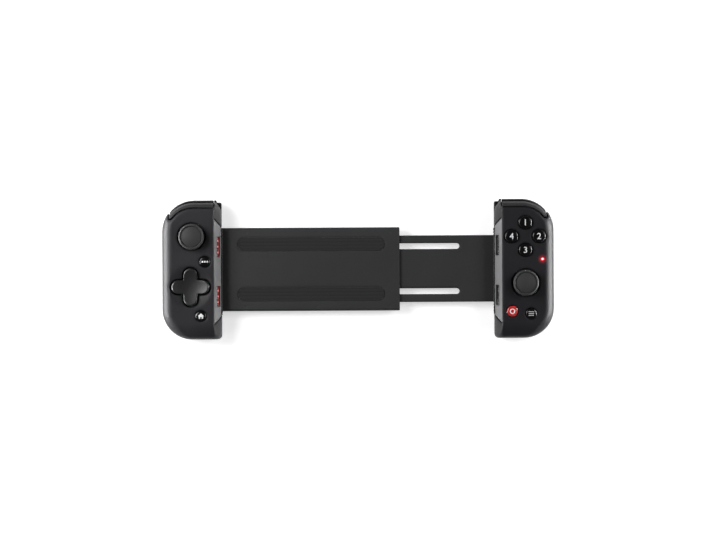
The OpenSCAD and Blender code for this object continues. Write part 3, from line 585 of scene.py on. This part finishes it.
def blur(field):
    """One pass of a 1-2-1 filter along each axis."""
    for axis in range(3):
        line = np.moveaxis(field, axis, 0)
        soft = line.copy()
        soft[1:-1] = 0.5 * line[1:-1] + 0.25 * (line[:-2] + line[2:])
        field = np.moveaxis(soft, 0, axis)
    return field


def smooth_max(a, b, width):
    gap = np.maximum(width - np.abs(a - b), 0)
    return np.maximum(a, b) + gap * gap / (4 * width)


def interpolate(grid, points):
    """Values of a grid at points given in cells."""
    base = np.clip(np.floor(points).astype(int), 0, np.array(grid.shape) - 2)
    part = points - base
    total = 0
    for corner in np.ndindex(2, 2, 2):
        share = np.prod(np.where(corner, part, 1 - part), axis=1)
        total = total + share * grid[tuple((base + corner).T)]
    return total


class Form:
    """A node's solid as distances on a grid, which can be softened, cut and turned into a mesh."""

    def __init__(self, node, cell):
        points, triangles = node_triangles(node)
        self.node = node
        self.cell = cell
        self.low = points.min(axis=0) - MARGIN * cell
        counts = np.ceil((points.max(axis=0) - self.low) / cell).astype(int) + MARGIN
        grid = openvdb.FloatGrid.createLevelSetFromPolygons(
            ((points - self.low) / cell).astype(np.float32), triangles=triangles.astype(np.uint32),
            halfWidth=float(BAND))
        self.field = np.zeros(tuple(counts), np.float32)
        grid.copyToArray(self.field)
        self.field *= cell
        steps = [low + cell * np.arange(count) for low, count in zip(self.low, counts)]
        self.x, self.y, self.z = np.meshgrid(*steps, indexing="ij", sparse=True)

    def soften(self, spread, share=1.0):
        """Round the edges over about spread, fully or by a share of each cell."""
        soft = self.field
        for _ in range(max(1, round(2 * (spread / self.cell) ** 2))):
            soft = blur(soft)
        self.field = self.field + share * (soft - self.field)

    def cut(self, shape, width):
        """Take a shape away, with its edges rounded over width."""
        self.field = smooth_max(self.field, -shape, width)

    def mesh(self):
        field = np.ascontiguousarray(self.field, np.float32)
        grid = openvdb.FloatGrid(BAND * self.cell)
        grid.copyFromArray(field)
        points, triangles, quads = grid.convertToPolygons(0.0, FLATTEN)
        points = points.astype(float)
        slopes = np.gradient(field)
        for _ in range(2):
            slope = np.stack([interpolate(part, points) for part in slopes], axis=1)
            size = np.maximum(np.linalg.norm(slope, axis=1, keepdims=True), 1e-6)
            move = interpolate(field, points)[:, None] / size
            points = points - np.clip(move, -NUDGE, NUDGE) * slope / size
        normals = slope / size
        faces = triangles.tolist() + quads.tolist()
        first = np.array([face[:3] for face in faces])
        edges = points[first[:, 1]] - points[first[:, 0]], points[first[:, 2]] - points[first[:, 0]]
        facing = np.einsum("ij,ij->i", np.cross(*edges), normals[first[:, 0]])
        if facing.sum() < 0:
            faces = [face[::-1] for face in faces]
        mesh = bpy.data.meshes.new(self.node + "_shape")
        mesh.from_pydata(((points * self.cell + self.low) * MM).tolist(), [], faces)
        mesh.shade_smooth()
        mesh.normals_split_custom_set_from_vertices(normals.tolist())
        return mesh


def softened(node, cell, spread):
    form = Form(node, cell)
    form.soften(spread)
    stand_for(node, form.mesh())


# Shells, clamp blocks and shoulder pieces


def outline_depth(form, side):
    """How far each column of a form lies inside the grip's outline, the clamp side left out."""
    low, high = box_mm(side + "_rear_shell")
    out = form.x - low[0] if side == "left" else high[0] - form.x
    depth = out
    for edge, radius in ((high[1] - form.y, SHOULDER_R), (form.y - low[1], HEEL_R)):
        corner = radius - np.hypot(np.maximum(radius - out, 0), np.maximum(radius - edge, 0))
        depth = np.minimum(depth, np.where((out < radius) & (edge < radius), corner, edge))
    return depth


def edge_share(form, side, width):
    """1 around the face within a width of the outline, and 0 a little away from there."""
    inside = np.clip((width + BLEND_W - outline_depth(form, side)) / BLEND_W, 0, 1)
    return inside * np.clip((form.z - BEVEL_FOOT_Z) / BLEND_W, 0, 1)


def shoulder_foot(side):
    return box_mm(side + "_bumper")[0][1] - BLEND_W


def bevel_share(form, side):
    """The bevel around the face, below the shoulder pieces."""
    return edge_share(form, side, BEVEL_W) * (form.y < shoulder_foot(side))


def shoulder_share(form, side):
    """The edge of the face along the shoulder pieces."""
    return edge_share(form, side, SHOULDER_W) * (form.y >= shoulder_foot(side))


def roll_heel(form, side):
    low, high = box_mm(side + "_front_shell")
    share = np.clip(1 - (form.y - low[1]) / ROLL_W, 0, 1)
    rolled = form.z - high[2] + ROLL_DROP * share ** 2
    form.field = np.where(share > 0, np.maximum(form.field, rolled), form.field)


def cut_bowl(form):
    """The bowl around the direction pad."""
    place = middle_mm("dpad")
    face = box_mm(form.node)[1][2]
    reach = np.hypot(form.x - place[0], form.y - place[1])
    height = face - np.minimum(BOWL_SLOPE * (BOWL_R - reach), BOWL_DEPTH)
    form.cut(height - form.z, BOWL_EDGE)


def shell(side, part):
    """A shell with crisp openings and a rounder outer bevel."""
    node = f"{side}_{part}_shell"
    form = Form(node, SHELL_CELL)
    form.soften(SHELL_SOFT)
    if part == "front":
        form.soften(SHOULDER_SOFT, shoulder_share(form, side))
        form.soften(BEVEL_SOFT, bevel_share(form, side))
        roll_heel(form, side)
        if side == "left":
            cut_bowl(form)
    # The right front shell takes the darker copy of the face plastic (painted shade) with the status light's
    # painted glow
    finish = PAINTED_RIGHT_FACE if (side, part) == ("right", "front") else None
    stand_for(node, form.mesh(), finish)


for side in SIDES:
    for part in ("front", "rear"):
        shell(side, part)
    for part, (cell, spread) in SOFT_BY_SIDE.items():
        softened(f"{side}_{part}", cell, spread)


# Rubber pads


def ribbed_pad(node, sizes, axis, end):
    """A pad with grooves across its y, cut into the face at one end (0 low, 1 high) of an axis."""
    cell, spread, pitch, radius = sizes
    box = box_mm(node)
    form = Form(node, cell)
    under = (form.x, form.y, form.z)[axis] - box[end][axis]
    across = (form.y - box[0][1]) % pitch - pitch / 2
    form.cut(np.hypot(under, across) - radius, GROOVE_EDGE)
    form.soften(spread)
    stand_for(node, form.mesh())


ribbed_pad("left_clamp_pad", CLAMP_PAD, axis=0, end=1)
ribbed_pad("right_clamp_pad", CLAMP_PAD, axis=0, end=0)
ribbed_pad("bridge_pads", BRIDGE_PAD, axis=2, end=1)


# Bridge


def link_cable():
    low, high = box_mm("link_cable")
    along = np.linspace(0, 1, CABLE_RINGS + 1)
    wave = CABLE_SWING * np.sin(2 * math.pi * CABLE_WAVES * along) * np.sin(math.pi * along)
    level = np.full_like(along, (low[2] + high[2]) / 2)
    path = np.stack([low[0] + (high[0] - low[0]) * along, wave, level], axis=1)
    stand_for("link_cable", tubes("link_cable_shape", [path], CABLE_R, CABLE_R), slack=True)


def spring_strips():
    """The rolled springs' free strips, which run out to the tongue as the bridge opens."""
    low, high = box_mm("spring_strips")
    level = (low[2] + high[2]) / 2
    rows = (low[1] + SPRING_HALF_T, high[1] - SPRING_HALF_T)
    paths = [np.array([(low[0], v, level), (high[0], v, level)]) for v in rows]
    mesh = tubes("spring_strips_shape", paths, SPRING_HALF_T, high[2] - level, SPRING_SQUARE)
    stand_for("spring_strips", mesh, slack=True)


for node, (cell, spread) in SOFT_BRIDGE.items():
    softened(node, cell, spread)
link_cable()
spring_strips()


# Lights


def slot_spots(side, finish):
    """Bright domes in a row on each slot's floor."""
    sign = -1 if side == "left" else 1
    low, high = box_mm(side + "_clamp_block")
    tilt = math.atan2(SLOPE_RISE, SLOPE_RUN)
    normal = np.array([-sign * math.sin(tilt), 0, math.cos(tilt)])
    up_slope = np.array([sign * math.cos(tilt), 0, math.sin(tilt)])
    face_edge = high if side == "right" else low
    slope_middle = np.array([face_edge[0] - sign * SLOPE_RUN / 2, 0, high[2] - SLOPE_RISE / 2])
    foot = slope_middle + SLOT_SHIFT * up_slope - SLOT_DEPTH * normal
    turn = Vector((0, 0, 1)).rotation_difference(Vector(normal)).to_matrix().to_4x4()
    dome = [(0, SPOT_BASE)] + arc((0, SPOT_BASE), SPOT_R, 0, 90, 8)
    for row, v in enumerate(SLOT_MIDDLES):
        for i in range(SPOT_COUNT):
            name = f"{side}_slot_{row + 1}_spot_{i + 1}"
            mesh = lathe(name, dome, (0, 0), SPOT_STEPS)
            foot[1] = v + (i - (SPOT_COUNT - 1) / 2) * SLOT_LEN / (SPOT_COUNT + 0.5)
            turn.translation = Vector(foot * MM)
            mesh.transform(turn)
            add_piece(name, mesh, finish, body_of(side + "_light_bar"))


def status_light():
    """A small pin with a domed top, lit at its top."""
    low, high = box_mm("status_light")
    top = top_mm("status_light")
    radius = (high[0] - low[0]) / 2
    side_top = high[2] - STATUS_DOME
    profile = [(0, low[2]), (radius, low[2]), (radius, side_top)]
    profile += [(radius * math.cos(a), side_top + STATUS_DOME * math.sin(a))
                for a in np.linspace(STATUS_START, math.pi / 2, STATUS_RINGS)]
    profile[-1] = (0, high[2])
    finish = pinpoint("status_glow", tuple(top * MM), (1.0, 0.03, 0.05), (1.0, 0.85, 0.85),
                      STATUS_CORE * radius * MM, STATUS_POWER)
    stand_for("status_light", lathe("status_light_shape", profile, top, STATUS_STEPS), finish)


slot_spots("left", SPOT_GLOW)
slot_spots("right", FINISHES["dark_lens"])
status_light()


# Thumbsticks


def stick_cap(side):
    node = side + "_stick_cap"
    top = box_mm(node)[1][2] - STICK_PIVOT_Z
    inner = SKIRT_R - SKIRT_T
    edge = CAP_R - CAP_EDGE
    groove_in, groove_out = CAP_GROOVE_R - CAP_GROOVE_W, CAP_GROOVE_R + CAP_GROOVE_W
    groove_z = top - CAP_GROOVE_H
    disc_r = groove_in - CAP_DISC_EDGE
    profile = [(0, inner)]
    profile += arc((0, 0), inner, SKIRT_TOP, math.degrees(math.asin(SKIRT_CUT / inner)), 10)
    profile += arc((0, 0), SKIRT_R, math.degrees(math.asin(SKIRT_CUT / SKIRT_R)), SKIRT_NECK, 14)
    profile += arc((NECK_R + NECK_FILLET, CAP_BASE - NECK_GAP - NECK_FILLET), NECK_FILLET, NECK_TURN, 90, 5)
    profile += arc((edge, CAP_BASE + CAP_EDGE), CAP_EDGE, -80, 0, 6)
    profile += arc((edge, top - CAP_EDGE), CAP_EDGE, 0, 90, 8)
    profile += arc((groove_out, top - CAP_LIP), CAP_LIP, 90, 180, 4)
    profile += [(CAP_GROOVE_R + CAP_GROOVE_FLOOR, groove_z), (CAP_GROOVE_R - CAP_GROOVE_FLOOR, groove_z)]
    profile += arc((disc_r, top - CAP_DOME - CAP_DISC_EDGE), CAP_DISC_EDGE, 0, 80, 8)
    profile += [(disc_r * s, top - CAP_DOME * s ** 2) for s in np.linspace(1, 0, 9)]
    profile = [(r, z + STICK_PIVOT_Z) for r, z in profile]
    ribs = {"count": RIB_COUNT, "depth": RIB_DEPTH, "over": edge + RIB_INSET,
            "above": STICK_PIVOT_Z + CAP_BASE}
    stand_for(node, lathe(node + "_shape", profile, middle_mm(node), CAP_STEPS, ribs))


for side in SIDES:
    stick_cap(side)


# Direction pad


def direction_pad():
    place = top_mm("dpad")
    form = Form("dpad", PAD_CELL)
    form.soften(PAD_SOFT)
    across, along, up = form.x - place[0], form.y - place[1], form.z - place[2]
    ball = np.sqrt(across ** 2 + along ** 2 + (up - PAD_DISH_R + PAD_DISH) ** 2)
    form.cut(ball - PAD_DISH_R, PAD_DISH_EDGE)
    ball_r = (DIMPLE_R ** 2 + DIMPLE_DEPTH ** 2) / (2 * DIMPLE_DEPTH)
    for turn in range(4):
        u = DIMPLE_REACH * math.cos(turn * math.pi / 2)
        v = DIMPLE_REACH * math.sin(turn * math.pi / 2)
        dimple = np.sqrt((across - u) ** 2 + (along - v) ** 2 + (up - ball_r + DIMPLE_DEPTH) ** 2)
        form.cut(dimple - ball_r, DIMPLE_EDGE)
    stand_for("dpad", form.mesh())


direction_pad()


# Buttons and their marks


def button_radius(node):
    low, high = box_mm(node)
    return (high[0] - low[0]) / 2 - FLANGE_W


def crown_drop(distance, radius):
    return BUTTON_CROWN * (distance / (radius - BUTTON_EDGE / 2)) ** 2


def button(node):
    low, high = box_mm(node)
    radius = button_radius(node)
    foot, top = low[2], high[2]
    side_top = top - crown_drop(radius, radius) - BUTTON_EDGE * BUTTON_EDGE_RISE
    profile = [(0, foot), (radius + FLANGE_W, foot), (radius + FLANGE_W, foot + FLANGE_T)]
    profile += [(radius, foot + FLANGE_T), (radius, side_top - BUTTON_SIDE)]
    shoulder = radius - BUTTON_EDGE
    rise = top - crown_drop(shoulder, radius) - side_top
    profile += [(shoulder + BUTTON_EDGE * math.cos(a), side_top + rise * math.sin(a))
                for a in np.linspace(0, math.pi / 2, EDGE_RINGS)]
    profile += [(shoulder * s, top - crown_drop(shoulder * s, radius)) for s in CROWN_RINGS]
    stand_for(node, lathe(node + "_shape", profile, middle_mm(node), BUTTON_STEPS))


def outline_edges(curve, name):
    """A flat curve's outlines: their corners, with long edges cut up, and the pairs that each edge joins."""
    curve.dimensions = "2D"
    curve.fill_mode = "NONE"
    curve.extrude = MARK_LIFT
    holder = bpy.data.objects.new(name, curve)
    bpy.context.scene.collection.objects.link(holder)
    bpy.context.view_layer.update()
    wall = bpy.data.meshes.new_from_object(holder.evaluated_get(bpy.context.evaluated_depsgraph_get()))
    corners, pairs = [], []
    for face in wall.polygons:
        loop = [wall.vertices[i].co for i in face.vertices]
        for a, b in zip(loop, loop[1:] + loop[:1]):
            if min(a.z, b.z) > 0:
                steps = max(1, math.ceil((b - a).length / MARK_STEP))
                pairs += [(len(corners) + i, len(corners) + i + 1) for i in range(steps)]
                corners += [a.lerp(b, i / steps).xy for i in range(steps + 1)]
    bpy.data.objects.remove(holder)
    bpy.data.meshes.remove(wall)
    return corners, pairs


def within(place, edges):
    """Whether closed outlines wind around a place, by the edges that are crossed on the way out."""
    above = (edges[:, :, 1] > place[1]).astype(int)
    rise = above[:, 1] - above[:, 0]
    (u0, v0), (u1, v1) = np.moveaxis(edges[rise != 0], 0, 2)
    crossed = u0 + (place[1] - v0) / (v1 - v0) * (u1 - u0) > place[0]
    return rise[rise != 0] @ crossed != 0


def slab(corners, pairs):
    """Points and faces of a thin closed slab inside outlines, in faces small enough to follow a crown."""
    low, high = np.min(corners, axis=0), np.max(corners, axis=0)
    rows = [np.arange(start, stop, MARK_STEP) for start, stop in zip(low, high)]
    grid = [Vector((u, v)) for u in rows[0] for v in rows[1]]
    points, _, faces, *_ = delaunay_2d_cdt(corners + grid, pairs, [], 0, MARK_SNAP)
    ends = np.array(corners)[np.array(pairs)]
    faces = [face for face in faces if within(np.mean([points[i] for i in face], axis=0), ends)]
    used = sorted({i for face in faces for i in face})
    faces = [[used.index(i) for i in face] for face in faces]
    edges = {pair for face in faces for pair in zip(face, face[1:] + face[:1])}
    rim = sorted((a, b) for a, b in edges if (b, a) not in edges)
    count = len(used)
    under = [[i + count for i in reversed(face)] for face in faces]
    wall = [[a, a + count, b + count, b] for a, b in rim]
    return np.array([(*points[i], z) for z in (MARK_LIFT, -MARK_LIFT) for i in used]), faces + under + wall


def mark(node, name, curve, finish):
    """Lays a flat mark, drawn in millimetres, on the middle of a button's crown."""
    points, faces = slab(*outline_edges(curve, name))
    points[:, :2] -= (points.min(axis=0) + points.max(axis=0))[:2] / 2
    points[:, 2] -= crown_drop(np.hypot(points[:, 0], points[:, 1]), button_radius(node))
    add_piece(name, smooth_mesh(name, points + top_mm(node), faces), finish, body_of(node))


def numeral(text):
    curve = bpy.data.curves.new("numeral_" + text, "FONT")
    curve.body = text
    curve.size = NUMERAL_SIZE
    curve.offset = NUMERAL_BOLD
    return curve


def outline(name, loops):
    """A flat curve from closed loops of points."""
    curve = bpy.data.curves.new(name, "CURVE")
    for loop in loops:
        spline = curve.splines.new("POLY")
        spline.points.add(len(loop) - 1)
        for point, (u, v) in zip(spline.points, loop):
            point.co = (u, v, 0, 1)
        spline.use_cyclic_u = True
    return curve


def disc(u, v, radius, steps=24):
    return [(u + radius * math.cos(a), v + radius * math.sin(a))
            for a in np.linspace(0, 2 * math.pi, steps, endpoint=False)]


def bar(v, half_u, half_v):
    return [(-half_u, v - half_v), (half_u, v - half_v), (half_u, v + half_v), (-half_u, v + half_v)]


for node in ("select_button", "home_button", "button_1", "button_2", "button_3", "button_4",
             "turbo_button", "menu_button"):
    button(node)
for digit in "1234":
    mark("button_" + digit, "numeral_" + digit, numeral(digit), MARK_WHITE)

outer, inner = (disc(0, 0, radius, RING_STEPS) for radius in RING_RADII)
ICONS = {
    "select": ([disc(i * DOT_PITCH, 0, DOT_R) for i in (-1, 0, 1)], MARK_WHITE),
    "home": ([HOUSE], MARK_WHITE),
    "menu": ([bar(i * BAR_PITCH, *BAR_HALF) for i in (-1, 0, 1)], MARK_GREY),
    "turbo": ([outer, inner[::-1]], MARK_WHITE),
}
for key, (loops, finish) in ICONS.items():
    mark(key + "_button", key + "_mark", outline(key + "_mark", loops), finish)


# Stage, light and camera


def white_share(tree):
    """1 for rays that show the background itself: camera, glossy and transmission rays."""
    paths = add_node(tree, "ShaderNodeLightPath")
    total = paths.outputs["Is Camera Ray"]
    for kind in ("Is Glossy Ray", "Is Transmission Ray"):
        total = maths(tree, "MAXIMUM", total, paths.outputs[kind])
    return total


def make_floor():
    corners = [(-FLOOR_HALF, -FLOOR_HALF, 0), (FLOOR_HALF, -FLOOR_HALF, 0),
               (FLOOR_HALF, FLOOR_HALF, 0), (-FLOOR_HALF, FLOOR_HALF, 0)]
    mesh = bpy.data.meshes.new("floor")
    mesh.from_pydata(corners, [], [(0, 1, 2, 3)])
    floor = bpy.data.objects.new("floor", mesh)
    floor.location.z = -FLOOR_DROP
    bpy.context.scene.collection.objects.link(floor)
    finish = Finish("floor", Base_Color=FLOOR_SHADE, Roughness=0.9, Specular_IOR_Level=0.1,
                    Emission_Color=(1, 1, 1, 1))
    finish.set("Emission Strength", ranged(finish.tree, white_share(finish.tree), 0, 1, 0, FLOOR_WHITE))
    mesh.materials.append(finish.material)


def make_world():
    """A studio that is bright to both sides and dim elsewhere, by the fourth power of a ray's x."""
    world = bpy.data.worlds.new("studio")
    bpy.context.scene.world = world
    world.use_nodes = True
    tree = world.node_tree
    ray = add_node(tree, "ShaderNodeTexCoord").outputs["Generated"]
    aside = add_node(tree, "ShaderNodeSeparateXYZ", {"Vector": ray}).outputs["X"]
    for _ in range(2):
        aside = maths(tree, "MULTIPLY", aside, aside)
    back = tree.nodes["Background"]
    feed(tree, back.inputs["Color"], (1, 1, 1, 1))
    feed(tree, back.inputs["Strength"], ranged(tree, aside, 0, 1, WORLD_DIM, WORLD_SIDES))


def softbox(name, place, size, power):
    """A rectangular lamp that faces the object."""
    data = bpy.data.lights.new(name, "AREA")
    data.shape = "RECTANGLE"
    data.size, data.size_y = size
    data.energy = power
    lamp = bpy.data.objects.new(name, data)
    lamp.location = place
    lamp.rotation_euler = (-Vector(place)).to_track_quat("-Z", "Y").to_euler()
    lamp.visible_camera = False
    bpy.context.scene.collection.objects.link(lamp)


def make_camera():
    data = bpy.data.cameras.new("camera")
    data.sensor_width = SENSOR_W
    data.lens = SENSOR_W * (CAMERA_DISTANCE - OUTLINE_Z) / (IMAGE_W * MM_PER_PIXEL * MM)
    data.clip_end = CAMERA_CLIP
    camera = bpy.data.objects.new("camera", data)
    camera.location = (0, CAMERA_V * MM, CAMERA_DISTANCE)
    camera.rotation_euler = (0, 0, math.radians(CAMERA_TURN))
    bpy.context.scene.collection.objects.link(camera)
    bpy.context.scene.camera = camera


make_floor()
make_world()
for side, sign in zip(SIDES, (-1, 1)):
    softbox(side + "_strip", (sign * STRIP_PLACE[0], *STRIP_PLACE[1:]), STRIP_SIZE, STRIP_POWER)
for name, (place, size, power) in BOXES.items():
    softbox(name, place, (size, size), power)
make_camera()
bpy.context.scene.view_settings.view_transform = "Standard"
